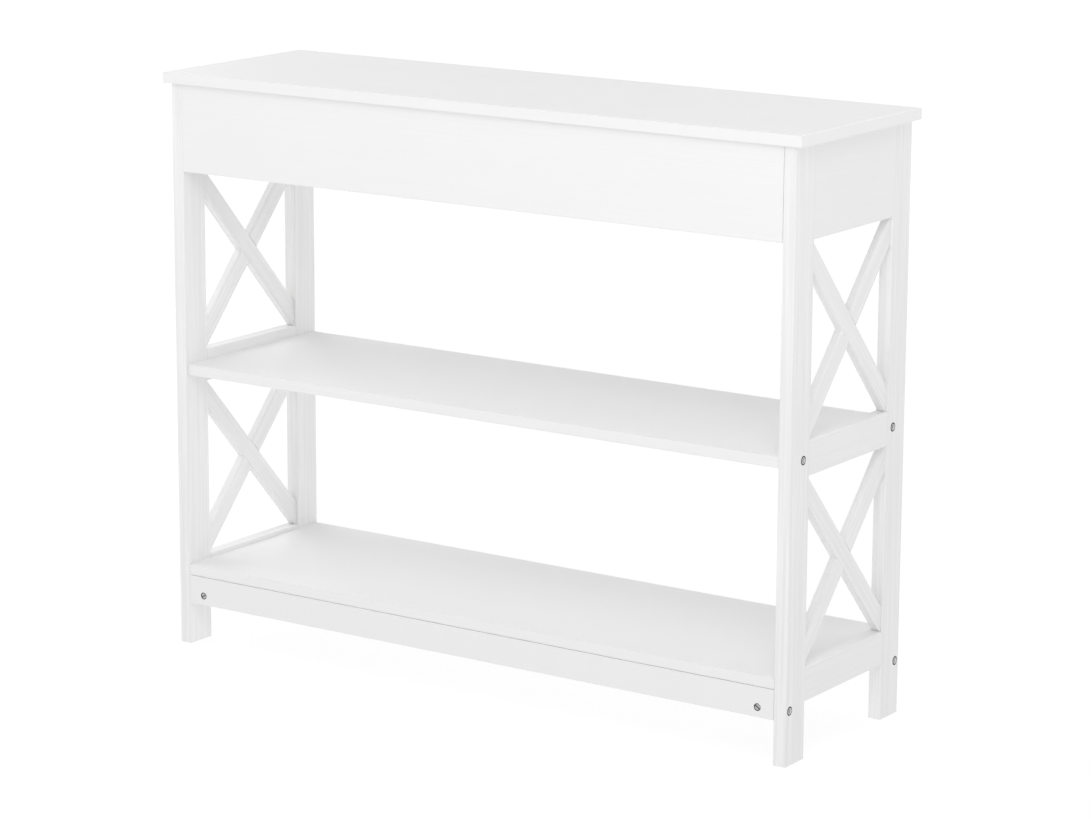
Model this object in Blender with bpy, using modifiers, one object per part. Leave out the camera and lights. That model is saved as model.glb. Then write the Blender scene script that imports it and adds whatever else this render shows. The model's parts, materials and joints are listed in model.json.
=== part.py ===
"""Console table with two shelves and X-braced end frames, built as its separate pieces.

Metres, +Z up. The origin is on the floor under the middle of the table. +X runs along the table
to its right end and -Y is its front.
"""
import math

import bmesh
import bpy
from mathutils import Matrix, Vector

# Overall size
TABLE_LENGTH = 1.000
TABLE_DEPTH = 0.300
TABLE_HEIGHT = 0.800
BOARD = 0.015                # thickness of the top, the shelves and the aprons
TOP_END_OVERHANG = 0.010
TOP_SIDE_OVERHANG = 0.006

# End frames
FRAME_BOARD = 0.018          # thickness of the legs, rails, end panels and stretchers
LEG_WIDTH = 0.045
APRON_HEIGHT = 0.120
RAIL_HEIGHT = 0.045
MIDDLE_RAIL_BOTTOM = 0.3675
LOWER_RAIL_BOTTOM = 0.075
BRACE_THICKNESS = 0.012
BRACE_WIDTH = 0.025
UPPER_BRACE_RISE = 0.218     # height that a bar's centre line climbs from leg to leg
LOWER_BRACE_RISE = 0.214

# Shelves and stretchers
MIDDLE_SHELF_BOTTOM = 0.3825
MIDDLE_SHELF_RECESS = 0.003
BOTTOM_SHELF_BOTTOM = 0.099
BOTTOM_SHELF_RECESS = 0.0005
STRETCHER_HEIGHT = 0.040

# Edges and fits
EDGE_RADIUS = 0.0012
EDGE_SEGMENTS = 2
GAP = 0.0003                 # between touching pieces
BORE_GAP = 0.0003            # radial, around hardware in its bore
OVERCUT = 0.002              # how far a cutter starts outside the face that it enters
ROUND_SEGMENTS = 20          # sides of the round shapes that show
HIDDEN_SEGMENTS = 12         # sides of the round shapes inside the boards
SMOOTH_ANGLE = math.radians(35)

# Connector bolts and their barrel nuts
BOLT_DIAMETER = 0.006
BOLT_LENGTH = 0.050
BOLT_HEAD_DIAMETER = 0.012
BOLT_HEAD_HEIGHT = 0.0026
BOLT_HEAD_PROUD = 0.0004
HEX_ACROSS_FLATS = 0.004
HEX_DEPTH = 0.0020
NUT_DIAMETER = 0.010
NUT_FROM_BOARD_END = 0.024
STRETCHER_NUT_LENGTH = 0.014
SHELF_NUT_LENGTH = 0.011
NUT_RECESS = 0.0005
NUT_CHAMFER = 0.0005
SLOT_WIDTH = 0.0014
SLOT_DEPTH = 0.0012
SHELF_BOLT_FROM_FRAME_FACE = 0.0305
STRETCHER_BOLT_HEIGHT = 0.072

# Cam bolts and cam discs
CAM_DIAMETER = 0.015
CAM_THICKNESS = 0.012
CAM_FROM_BOARD_END = 0.034
CAM_THREAD_DIAMETER = 0.006
CAM_THREAD_LENGTH = 0.010
CAM_NECK_DIAMETER = 0.0044
CAM_HEAD_DIAMETER = 0.0064
CAM_HEAD_LENGTH = 0.0030
CAM_SLOT_WIDTH = 0.0016
CAM_SLOT_LENGTH = 0.009
CAM_SLOT_DEPTH = 0.0014
TOP_CAM_FROM_MIDDLE = 0.300

# Dowels between the stretchers and the bottom shelf
DOWEL_DIAMETER = 0.008
DOWEL_IN_SHELF = 0.010
DOWEL_IN_STRETCHER = 0.018
DOWEL_CHAMFER = 0.001

# Planes that several pieces share
FRAME_X = TABLE_LENGTH / 2 - TOP_END_OVERHANG       # outer face of the legs
FRAME_Y = TABLE_DEPTH / 2 - TOP_SIDE_OVERHANG       # front face of the legs
INNER_X = FRAME_X - FRAME_BOARD                     # inner face of the legs
INNER_Y = FRAME_Y - LEG_WIDTH                       # edge of the legs that faces the braces
TOP_BOTTOM = TABLE_HEIGHT - BOARD
APRON_BOTTOM = TOP_BOTTOM - APRON_HEIGHT
MIDDLE_RAIL_TOP = MIDDLE_RAIL_BOTTOM + RAIL_HEIGHT
LOWER_RAIL_TOP = LOWER_RAIL_BOTTOM + RAIL_HEIGHT
STRETCHER_TOP = BOTTOM_SHELF_BOTTOM - GAP
APRON_MIDDLE_Y = FRAME_Y - BOARD / 2
APRON_INNER_Y = FRAME_Y - BOARD
STRETCHER_MIDDLE_Y = FRAME_Y - FRAME_BOARD / 2
SHELF_BOLT_Y = FRAME_Y - SHELF_BOLT_FROM_FRAME_FACE
SHELF_BOLT_Z = MIDDLE_SHELF_BOTTOM + BOARD / 2
NUT_X = INNER_X - NUT_FROM_BOARD_END
APRON_CAM_X = INNER_X - CAM_FROM_BOARD_END
APRON_CAM_Z = APRON_BOTTOM + APRON_HEIGHT / 2
TOP_CAM_Z = TOP_BOTTOM - CAM_FROM_BOARD_END
BOLT_SEAT_DEPTH = BOLT_HEAD_HEIGHT - BOLT_HEAD_PROUD + GAP
BOLT_IN_LEG = FRAME_BOARD - BOLT_SEAT_DEPTH
BOLT_CHANNEL_DEPTH = BOLT_LENGTH - BOLT_IN_LEG + 4 * GAP

ENDS = {"left": -1, "right": 1}
SIDES = {"front": -1, "rear": 1}


def clear_scene():
    for obj in list(bpy.data.objects):
        bpy.data.objects.remove(obj, do_unlink=True)


def new_collection(name):
    collection = bpy.data.collections.new(name)
    bpy.context.scene.collection.children.link(collection)
    return collection


def new_material(name, colour, roughness, metallic):
    material = bpy.data.materials.new(name)
    material.use_nodes = True
    shader = material.node_tree.nodes["Principled BSDF"]
    shader.inputs["Base Color"].default_value = (*colour, 1.0)
    shader.inputs["Roughness"].default_value = roughness
    shader.inputs["Metallic"].default_value = metallic
    return material


clear_scene()
PARTS = new_collection("console_table")
CUTTERS = new_collection("cutters")
WHITE_PANEL = new_material("white_laminated_board", (0.86, 0.86, 0.86), 0.42, 0.0)
WHITE_FRAME = new_material("white_painted_frame", (0.85, 0.85, 0.85), 0.45, 0.0)
ZINC_STEEL = new_material("zinc_plated_steel", (0.52, 0.52, 0.53), 0.38, 1.0)
ZINC_ALLOY = new_material("zinc_alloy", (0.62, 0.62, 0.63), 0.42, 1.0)
BEECH = new_material("beech_dowel", (0.62, 0.44, 0.27), 0.70, 0.0)


def place(name, mesh, material, location=(0, 0, 0), turn=None):
    """Put a piece of the table in the parts collection, as an object of its own."""
    obj = bpy.data.objects.new(name, mesh)
    obj.matrix_world = Matrix.Translation(location) @ (turn or Matrix.Identity(4))
    if not mesh.materials:
        mesh.materials.append(material)
    PARTS.objects.link(obj)
    return obj


def place_cutter(name, mesh, location, turn=None):
    cutter = bpy.data.objects.new(name, mesh)
    cutter.matrix_world = Matrix.Translation(location) @ (turn or Matrix.Identity(4))
    cutter.hide_render = True
    cutter.display_type = "WIRE"
    CUTTERS.objects.link(cutter)
    return cutter


def box_mesh(name, size):
    bm = bmesh.new()
    bmesh.ops.create_cube(bm, size=1.0)
    bmesh.ops.scale(bm, vec=size, verts=bm.verts)
    mesh = bpy.data.meshes.new(name)
    bm.to_mesh(mesh)
    bm.free()
    return mesh


def rod_mesh(name, across_corners, length, segments):
    """A closed cylinder or prism along Z, centred on its middle."""
    radius = across_corners / 2
    bm = bmesh.new()
    bmesh.ops.create_cone(
        bm, cap_ends=True, segments=segments, radius1=radius, radius2=radius, depth=length
    )
    mesh = bpy.data.meshes.new(name)
    bm.to_mesh(mesh)
    bm.free()
    return mesh


def boolean(obj, cutter, operation):
    modifier = obj.modifiers.new(cutter.name, "BOOLEAN")
    modifier.operation = operation
    modifier.object = cutter


def facing(direction):
    """The rotation that turns local +Z to the given direction."""
    return Vector(direction).to_track_quat("Z", "Y").to_matrix().to_4x4()


def board(name, x, y, z, material):
    """A board between the given limits, with softly rounded edges."""
    size = (x[1] - x[0], y[1] - y[0], z[1] - z[0])
    middle = ((x[0] + x[1]) / 2, (y[0] + y[1]) / 2, (z[0] + z[1]) / 2)
    obj = place(name, box_mesh(name, size), material, middle)
    bevel = obj.modifiers.new("rounded_edges", "BEVEL")
    bevel.width = EDGE_RADIUS
    bevel.segments = EDGE_SEGMENTS
    return obj


def bore_mesh(name, diameter, length, segments=HIDDEN_SEGMENTS):
    """A cutter for a hole. Its flats, and not its corners, lie on the hole's diameter."""
    return rod_mesh(name, diameter / math.cos(math.pi / segments), length, segments)


def drill(piece, label, mouth, direction, diameter, depth, segments=HIDDEN_SEGMENTS):
    """Bore a hole into a piece, from a point on its face along a direction."""
    name = f"{piece.name}_{label}"
    middle = Vector(mouth) + Vector(direction) * (depth - OVERCUT) / 2
    mesh = bore_mesh(name, diameter, depth + OVERCUT, segments)
    boolean(piece, place_cutter(name, mesh, middle, facing(direction)), "DIFFERENCE")


def mirrored(side, low, high):
    """Limits between low and high on the positive side, or their mirror image on the negative one."""
    return (low, high) if side > 0 else (-high, -low)


def turned_mesh(name, profile, segments=HIDDEN_SEGMENTS):
    """Turn a profile of (radius, height) points, listed from the top down, into a closed solid."""
    mesh = bpy.data.meshes.new(name)
    points = [(radius, 0.0, height) for radius, height in profile]
    mesh.from_pydata(points, [(i, i + 1) for i in range(len(points) - 1)], [])
    obj = place(name, mesh, ZINC_STEEL)
    screw = obj.modifiers.new("turned", "SCREW")
    screw.steps = segments
    screw.render_steps = segments
    screw.use_merge_vertices = True
    screw.merge_threshold = 0.00001
    return finished_mesh(obj)


def finished_mesh(obj):
    """The mesh of an object with its modifiers applied. The object and its cutters are removed."""
    graph = bpy.context.evaluated_depsgraph_get()
    mesh = bpy.data.meshes.new_from_object(obj.evaluated_get(graph))
    mesh.name = obj.name
    mesh.shade_smooth()
    mesh.set_sharp_from_angle(angle=SMOOTH_ANGLE)
    mesh.materials.clear()
    used = [m.object for m in obj.modifiers if m.type == "BOOLEAN"]
    for thing in [obj, *used]:
        bpy.data.objects.remove(thing, do_unlink=True)
    return mesh


def cut_mesh(name, mesh, cutters):
    """Cut shapes out of a small turned piece. Each cutter is a mesh, a location and a rotation."""
    obj = place(name, mesh, ZINC_STEEL)
    for index, (cutter, location, turn) in enumerate(cutters):
        boolean(obj, place_cutter(f"{name}_cutter_{index}", cutter, location, turn), "DIFFERENCE")
    return finished_mesh(obj)


def connector_bolt_mesh():
    """A pan-head bolt with a hex socket, its head's underside at the origin and its shank down -Z."""
    head = BOLT_HEAD_DIAMETER / 2
    shank = BOLT_DIAMETER / 2
    crown = 0.0008           # the head's rounded rim
    point = 0.0010           # the chamfer at the bolt's end
    rim = [
        (head - crown + crown * math.cos(angle), BOLT_HEAD_HEIGHT - crown + crown * math.sin(angle))
        for angle in (math.radians(90), math.radians(60), math.radians(30), 0.0)
    ]
    body = turned_mesh(
        "connector_bolt_body",
        [
            (0.0, BOLT_HEAD_HEIGHT),
            *rim,
            (head, 0.0),
            (shank, 0.0),
            (shank, point - BOLT_LENGTH),
            (shank - point, -BOLT_LENGTH),
            (0.0, -BOLT_LENGTH),
        ],
        ROUND_SEGMENTS,
    )
    socket = bore_mesh("hex_socket", HEX_ACROSS_FLATS, HEX_DEPTH + OVERCUT, segments=6)
    middle = (0, 0, BOLT_HEAD_HEIGHT - (HEX_DEPTH - OVERCUT) / 2)
    return cut_mesh("connector_bolt", body, [(socket, middle, None)])


def barrel_nut_mesh(name, length, bore_from_face):
    """A cross nut, its slotted face at the origin and its body down -Z, bored through along X."""
    radius = NUT_DIAMETER / 2
    body = turned_mesh(
        f"{name}_body",
        [
            (0.0, 0.0),
            (radius - NUT_CHAMFER, 0.0),
            (radius, -NUT_CHAMFER),
            (radius, NUT_CHAMFER - length),
            (radius - NUT_CHAMFER, -length),
            (0.0, -length),
        ],
        ROUND_SEGMENTS,
    )
    bore = bore_mesh("cross_bore", BOLT_DIAMETER + 2 * BORE_GAP, NUT_DIAMETER + 2 * OVERCUT)
    slot = box_mesh("driver_slot", (SLOT_WIDTH, NUT_DIAMETER + 2 * OVERCUT, SLOT_DEPTH + OVERCUT))
    cuts = [
        (bore, (0, 0, -bore_from_face), facing((1, 0, 0))),
        (slot, (0, 0, (OVERCUT - SLOT_DEPTH) / 2), None),
    ]
    return cut_mesh(name, body, cuts)


def cam_bolt_mesh():
    """A cam bolt, its collar's seat at the origin, its thread down -Z and its neck and head up +Z."""
    thread = CAM_THREAD_DIAMETER / 2
    neck = CAM_NECK_DIAMETER / 2
    head = CAM_HEAD_DIAMETER / 2
    collar = 0.0012
    tip = CAM_FROM_BOARD_END + CAM_HEAD_LENGTH / 2
    chamfer = 0.0008
    return turned_mesh(
        "cam_bolt",
        [
            (0.0, tip),
            (head - chamfer, tip),
            (head, tip - chamfer),
            (head, tip - CAM_HEAD_LENGTH),
            (neck, tip - CAM_HEAD_LENGTH - chamfer),
            (neck, collar + GAP),
            (head, collar + GAP),
            (head, GAP),
            (thread, GAP),
            (thread, chamfer - CAM_THREAD_LENGTH),
            (thread - chamfer, -CAM_THREAD_LENGTH),
            (0.0, -CAM_THREAD_LENGTH),
        ],
    )


def cam_disc_mesh():
    """A cam, its slotted face at the origin and its body down -Z, open towards +X for the cam bolt."""
    radius = CAM_DIAMETER / 2
    chamfer = 0.0006
    body = turned_mesh(
        "cam_disc_body",
        [
            (0.0, 0.0),
            (radius - chamfer, 0.0),
            (radius, -chamfer),
            (radius, chamfer - CAM_THICKNESS),
            (radius - chamfer, -CAM_THICKNESS),
            (0.0, -CAM_THICKNESS),
        ],
    )
    reach = CAM_HEAD_LENGTH / 2 + 4 * BORE_GAP        # how far the bolt's head goes past the centre
    channel_length = radius + reach + OVERCUT
    channel = bore_mesh("cam_channel", CAM_HEAD_DIAMETER + 2 * BORE_GAP, channel_length)
    along = (channel_length / 2 - reach, 0, GAP - BOARD / 2)
    slot_size = (CAM_SLOT_WIDTH, CAM_SLOT_LENGTH, CAM_SLOT_DEPTH + OVERCUT)
    above = (0, 0, (OVERCUT - CAM_SLOT_DEPTH) / 2)
    cuts = [(channel, along, facing((1, 0, 0)))]
    for turn in (0.0, math.pi / 2):
        cuts.append((box_mesh("cam_driver_slot", slot_size), above, Matrix.Rotation(turn, 4, "Z")))
    return cut_mesh("cam_disc", body, cuts)


def dowel_mesh():
    """A chamfered dowel, the joint between shelf and stretcher at its origin."""
    radius = DOWEL_DIAMETER / 2
    return turned_mesh(
        "shelf_dowel",
        [
            (0.0, DOWEL_IN_SHELF),
            (radius - DOWEL_CHAMFER, DOWEL_IN_SHELF),
            (radius, DOWEL_IN_SHELF - DOWEL_CHAMFER),
            (radius, DOWEL_CHAMFER - DOWEL_IN_STRETCHER),
            (radius - DOWEL_CHAMFER, -DOWEL_IN_STRETCHER),
            (0.0, -DOWEL_IN_STRETCHER),
        ],
    )


def drill_cam_thread(piece, label, mouth, direction):
    """The blind hole that a cam bolt is screwed into."""
    diameter = CAM_THREAD_DIAMETER + 2 * BORE_GAP
    drill(piece, label, mouth, direction, diameter, CAM_THREAD_LENGTH + 2 * GAP)


def drill_bolt_channel(piece, label, mouth, direction, depth):
    """The hole that a connector bolt's shank passes through."""
    drill(piece, label, mouth, direction, BOLT_DIAMETER + 4 * BORE_GAP, depth)


def make_top():
    top = board(
        "table_top",
        (-TABLE_LENGTH / 2, TABLE_LENGTH / 2),
        (-TABLE_DEPTH / 2, TABLE_DEPTH / 2),
        (TOP_BOTTOM, TABLE_HEIGHT),
        WHITE_PANEL,
    )
    for end, x_side in ENDS.items():
        for side, y_side in SIDES.items():
            mouth = (x_side * TOP_CAM_FROM_MIDDLE, y_side * APRON_MIDDLE_Y, TOP_BOTTOM)
            drill_cam_thread(top, f"{side}_{end}_thread", mouth, (0, 0, 1))


def make_leg(end, side):
    """A leg with two counterbored bolt holes and the blind hole of the apron's cam bolt."""
    x_side = ENDS[end]
    y_side = SIDES[side]
    leg = board(
        f"{side}_{end}_leg",
        mirrored(x_side, INNER_X, FRAME_X),
        mirrored(y_side, INNER_Y, FRAME_Y),
        (0.0, TOP_BOTTOM - GAP),
        WHITE_FRAME,
    )
    inwards = (-x_side, 0, 0)
    bolts = {
        "shelf": (SHELF_BOLT_Y, SHELF_BOLT_Z),
        "stretcher": (STRETCHER_MIDDLE_Y, STRETCHER_BOLT_HEIGHT),
    }
    for label, (bolt_y, bolt_z) in bolts.items():
        mouth = (x_side * FRAME_X, y_side * bolt_y, bolt_z)
        seat_diameter = BOLT_HEAD_DIAMETER + 2 * BORE_GAP
        drill(leg, f"{label}_seat", mouth, inwards, seat_diameter, BOLT_SEAT_DEPTH, ROUND_SEGMENTS)
        drill_bolt_channel(leg, f"{label}_bore", mouth, inwards, FRAME_BOARD + OVERCUT)
    cam = (x_side * INNER_X, y_side * APRON_MIDDLE_Y, APRON_CAM_Z)
    drill_cam_thread(leg, "cam_thread", cam, (x_side, 0, 0))


def make_apron(side):
    """An apron with the seats and channels of its four cams, cut from its inner face and edges."""
    y_side = SIDES[side]
    apron = board(
        f"{side}_apron",
        (GAP - INNER_X, INNER_X - GAP),
        mirrored(y_side, APRON_INNER_Y, FRAME_Y),
        (APRON_BOTTOM, TOP_BOTTOM - GAP),
        WHITE_PANEL,
    )
    outwards = (0, y_side, 0)
    cam_seat = CAM_DIAMETER + 2 * BORE_GAP
    channel = CAM_HEAD_DIAMETER + 4 * BORE_GAP
    for end, x_side in ENDS.items():
        end_cam = (x_side * APRON_CAM_X, y_side * APRON_INNER_Y, APRON_CAM_Z)
        drill(apron, f"{end}_cam_seat", end_cam, outwards, cam_seat, CAM_THICKNESS + 2 * GAP)
        end_mouth = (x_side * INNER_X, y_side * APRON_MIDDLE_Y, APRON_CAM_Z)
        drill(apron, f"{end}_cam_channel", end_mouth, (-x_side, 0, 0), channel, CAM_FROM_BOARD_END)
        top_x = x_side * TOP_CAM_FROM_MIDDLE
        top_cam = (top_x, y_side * APRON_INNER_Y, TOP_CAM_Z)
        drill(apron, f"{end}_top_cam_seat", top_cam, outwards, cam_seat, CAM_THICKNESS + 2 * GAP)
        top_mouth = (top_x, y_side * APRON_MIDDLE_Y, TOP_BOTTOM)
        drill(apron, f"{end}_top_cam_channel", top_mouth, (0, 0, -1), channel, CAM_FROM_BOARD_END)


def make_end_rails(end):
    """The end panel and the two rails between the legs of one end."""
    x = mirrored(ENDS[end], INNER_X, FRAME_X)
    y = (GAP - INNER_Y, INNER_Y - GAP)
    board(f"{end}_end_panel", x, y, (APRON_BOTTOM, TOP_BOTTOM - GAP), WHITE_FRAME)
    board(f"{end}_middle_rail", x, y, (MIDDLE_RAIL_BOTTOM, MIDDLE_RAIL_TOP), WHITE_FRAME)
    board(f"{end}_lower_rail", x, y, (LOWER_RAIL_BOTTOM, LOWER_RAIL_TOP), WHITE_FRAME)


def make_braces(end, level, bay_bottom, bay_top, rise):
    """The two half-lapped bars of one bay, their ends cut off by the legs and rails around it."""
    x_side = ENDS[end]
    span = 2 * (INNER_Y - GAP)
    slope = math.atan2(rise, span)
    uncut_length = 1.5 * math.hypot(span, rise)
    middle = Vector((x_side * (FRAME_X - FRAME_BOARD / 2), 0, (bay_bottom + bay_top) / 2))
    bay_size = (FRAME_BOARD, span, bay_top - bay_bottom - 2 * GAP)
    lap_depth = BRACE_THICKNESS / 2 + GAP / 2
    lap_size = (lap_depth + OVERCUT, 2 * LEG_WIDTH, BRACE_WIDTH + 2 * GAP)
    # A rising bar climbs to the rear and gives up its +X half where the bars cross. A falling bar
    # gives up its -X half. That makes the two end frames one frame turned round, not mirror images.
    for direction, turn in {"rising": 1, "falling": -1}.items():
        name = f"{end}_{level}_brace_{direction}"
        bar_size = (BRACE_THICKNESS, uncut_length, BRACE_WIDTH)
        bar = place(name, box_mesh(name, bar_size), WHITE_FRAME, middle)
        bar.rotation_euler.x = turn * slope
        bevel = bar.modifiers.new("rounded_edges", "BEVEL")
        bevel.width = EDGE_RADIUS
        bevel.segments = EDGE_SEGMENTS
        bay = place_cutter(f"{name}_bay", box_mesh(f"{name}_bay", bay_size), middle)
        boolean(bar, bay, "INTERSECT")
        lap_middle = middle + Vector((turn * (lap_depth + OVERCUT - GAP) / 2, 0, 0))
        lap_turn = Matrix.Rotation(-turn * slope, 4, "X")
        lap = place_cutter(f"{name}_lap", box_mesh(f"{name}_lap", lap_size), lap_middle, lap_turn)
        boolean(bar, lap, "DIFFERENCE")


def make_middle_shelf():
    """The middle shelf, bored at its ends for the bolts and in its underside for their nuts."""
    half_depth = FRAME_Y - MIDDLE_SHELF_RECESS
    shelf = board(
        "middle_shelf",
        (GAP - INNER_X, INNER_X - GAP),
        (-half_depth, half_depth),
        (MIDDLE_SHELF_BOTTOM, MIDDLE_SHELF_BOTTOM + BOARD),
        WHITE_PANEL,
    )
    for end, x_side in ENDS.items():
        for side, y_side in SIDES.items():
            mouth = (x_side * INNER_X, y_side * SHELF_BOLT_Y, SHELF_BOLT_Z)
            inwards = (-x_side, 0, 0)
            drill_bolt_channel(shelf, f"{side}_{end}_bore", mouth, inwards, BOLT_CHANNEL_DEPTH)
            nut = (x_side * NUT_X, y_side * SHELF_BOLT_Y, MIDDLE_SHELF_BOTTOM)
            depth = NUT_RECESS + SHELF_NUT_LENGTH + GAP
            drill(shelf, f"{side}_{end}_nut", nut, (0, 0, 1), NUT_DIAMETER + 2 * BORE_GAP, depth)


def make_bottom_shelf():
    """The bottom shelf, with a dowel hole over each stretcher."""
    half_depth = FRAME_Y - BOTTOM_SHELF_RECESS
    shelf = board(
        "bottom_shelf",
        (GAP - INNER_X, INNER_X - GAP),
        (-half_depth, half_depth),
        (BOTTOM_SHELF_BOTTOM, BOTTOM_SHELF_BOTTOM + BOARD),
        WHITE_PANEL,
    )
    for side, y_side in SIDES.items():
        mouth = (0, y_side * STRETCHER_MIDDLE_Y, BOTTOM_SHELF_BOTTOM)
        diameter = DOWEL_DIAMETER + 2 * BORE_GAP
        drill(shelf, f"{side}_dowel", mouth, (0, 0, 1), diameter, DOWEL_IN_SHELF + GAP)


def make_stretcher(side):
    """A stretcher, bored at its ends for the bolts and in its outer face for their nuts."""
    y_side = SIDES[side]
    stretcher = board(
        f"{side}_stretcher",
        (GAP - INNER_X, INNER_X - GAP),
        mirrored(y_side, FRAME_Y - FRAME_BOARD, FRAME_Y),
        (STRETCHER_TOP - STRETCHER_HEIGHT, STRETCHER_TOP),
        WHITE_FRAME,
    )
    for end, x_side in ENDS.items():
        mouth = (x_side * INNER_X, y_side * STRETCHER_MIDDLE_Y, STRETCHER_BOLT_HEIGHT)
        inwards = (-x_side, 0, 0)
        drill_bolt_channel(stretcher, f"{end}_bore", mouth, inwards, BOLT_CHANNEL_DEPTH)
        nut = (x_side * NUT_X, y_side * FRAME_Y, STRETCHER_BOLT_HEIGHT)
        depth = NUT_RECESS + STRETCHER_NUT_LENGTH + GAP
        drill(stretcher, f"{end}_nut", nut, (0, -y_side, 0), NUT_DIAMETER + 2 * BORE_GAP, depth)
    dowel = (0, y_side * STRETCHER_MIDDLE_Y, STRETCHER_TOP)
    diameter = DOWEL_DIAMETER + 2 * BORE_GAP
    drill(stretcher, "dowel", dowel, (0, 0, -1), diameter, DOWEL_IN_STRETCHER + GAP)


def make_connectors():
    """The bolts through the legs and the barrel nuts that they pull on."""
    bolt_mesh = connector_bolt_mesh()
    stretcher_nut_bore = FRAME_BOARD / 2 - NUT_RECESS
    shelf_nut_bore = BOARD / 2 - NUT_RECESS
    stretcher_nut_mesh = barrel_nut_mesh("stretcher_nut", STRETCHER_NUT_LENGTH, stretcher_nut_bore)
    shelf_nut_mesh = barrel_nut_mesh("shelf_nut", SHELF_NUT_LENGTH, shelf_nut_bore)
    under_head_x = FRAME_X - BOLT_SEAT_DEPTH + GAP
    for end, x_side in ENDS.items():
        for side, y_side in SIDES.items():
            corner = f"{side}_{end}"
            outwards = facing((x_side, 0, 0))
            shelf_bolt = (x_side * under_head_x, y_side * SHELF_BOLT_Y, SHELF_BOLT_Z)
            place(f"{corner}_shelf_bolt", bolt_mesh, ZINC_STEEL, shelf_bolt, outwards)
            low_y = y_side * STRETCHER_MIDDLE_Y
            stretcher_bolt = (x_side * under_head_x, low_y, STRETCHER_BOLT_HEIGHT)
            place(f"{corner}_stretcher_bolt", bolt_mesh, ZINC_STEEL, stretcher_bolt, outwards)
            shelf_nut = (x_side * NUT_X, y_side * SHELF_BOLT_Y, MIDDLE_SHELF_BOTTOM + NUT_RECESS)
            upside_down = Matrix.Rotation(math.pi, 4, "X")
            place(f"{corner}_shelf_nut", shelf_nut_mesh, ZINC_ALLOY, shelf_nut, upside_down)
            face_y = y_side * (FRAME_Y - NUT_RECESS)
            stretcher_nut = (x_side * NUT_X, face_y, STRETCHER_BOLT_HEIGHT)
            turn = Matrix.Rotation(-y_side * math.pi / 2, 4, "X")
            place(f"{corner}_stretcher_nut", stretcher_nut_mesh, ZINC_ALLOY, stretcher_nut, turn)


def make_cams():
    """The cam bolts and cam discs that hold the aprons to the legs and the top to the aprons."""
    bolt_mesh = cam_bolt_mesh()
    disc_mesh = cam_disc_mesh()
    for end, x_side in ENDS.items():
        for side, y_side in SIDES.items():
            corner = f"{side}_{end}"
            leg_face = (x_side * INNER_X, y_side * APRON_MIDDLE_Y, APRON_CAM_Z)
            place(f"{corner}_apron_cam_bolt", bolt_mesh, ZINC_STEEL, leg_face, facing((-x_side, 0, 0)))
            top_x = x_side * TOP_CAM_FROM_MIDDLE
            top_face = (top_x, y_side * APRON_MIDDLE_Y, TOP_BOTTOM)
            place(f"{corner}_top_cam_bolt", bolt_mesh, ZINC_STEEL, top_face, facing((0, 0, -1)))
            face_y = y_side * (APRON_INNER_Y + GAP)
            disc = (x_side * APRON_CAM_X, face_y, APRON_CAM_Z)
            to_end = cam_disc_turn(y_side, (x_side, 0, 0))
            place(f"{corner}_apron_cam_disc", disc_mesh, ZINC_ALLOY, disc, to_end)
            top_disc = (top_x, face_y, TOP_CAM_Z)
            to_top = cam_disc_turn(y_side, (0, 0, 1))
            place(f"{corner}_top_cam_disc", disc_mesh, ZINC_ALLOY, top_disc, to_top)


def cam_disc_turn(y_side, towards):
    """The cam's rotation: its slotted face to the inside of the apron, its channel to its bolt."""
    face = Vector((0, -y_side, 0))
    channel = Vector(towards)
    return Matrix((channel, face.cross(channel), face)).transposed().to_4x4()


def make_dowels():
    """The dowels that keep the bottom shelf in its place on the stretchers."""
    mesh = dowel_mesh()
    for side, y_side in SIDES.items():
        joint = (0, y_side * STRETCHER_MIDDLE_Y, BOTTOM_SHELF_BOTTOM)
        place(f"{side}_shelf_dowel", mesh, BEECH, joint)


make_top()
for side_name in SIDES:
    make_apron(side_name)
    make_stretcher(side_name)
for end_name in ENDS:
    for side_name in SIDES:
        make_leg(end_name, side_name)
    make_end_rails(end_name)
    make_braces(end_name, "upper", MIDDLE_RAIL_TOP, APRON_BOTTOM, UPPER_BRACE_RISE)
    make_braces(end_name, "lower", LOWER_RAIL_TOP, MIDDLE_RAIL_BOTTOM, LOWER_BRACE_RISE)
make_middle_shelf()
make_bottom_shelf()
make_connectors()
make_cams()
make_dowels()
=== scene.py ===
"""The looks of a white console table with X-braced ends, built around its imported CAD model.

Every board, bolt, nut, cam and dowel of the frame gets a finished piece, with eased edges, drilled
and chamfered holes, threads and drive recesses, and a painted, laminated, plated, cast or wooden
surface.
"""

import itertools
import json
import math

import bmesh
import bpy
from mathutils import Matrix, Vector

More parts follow.
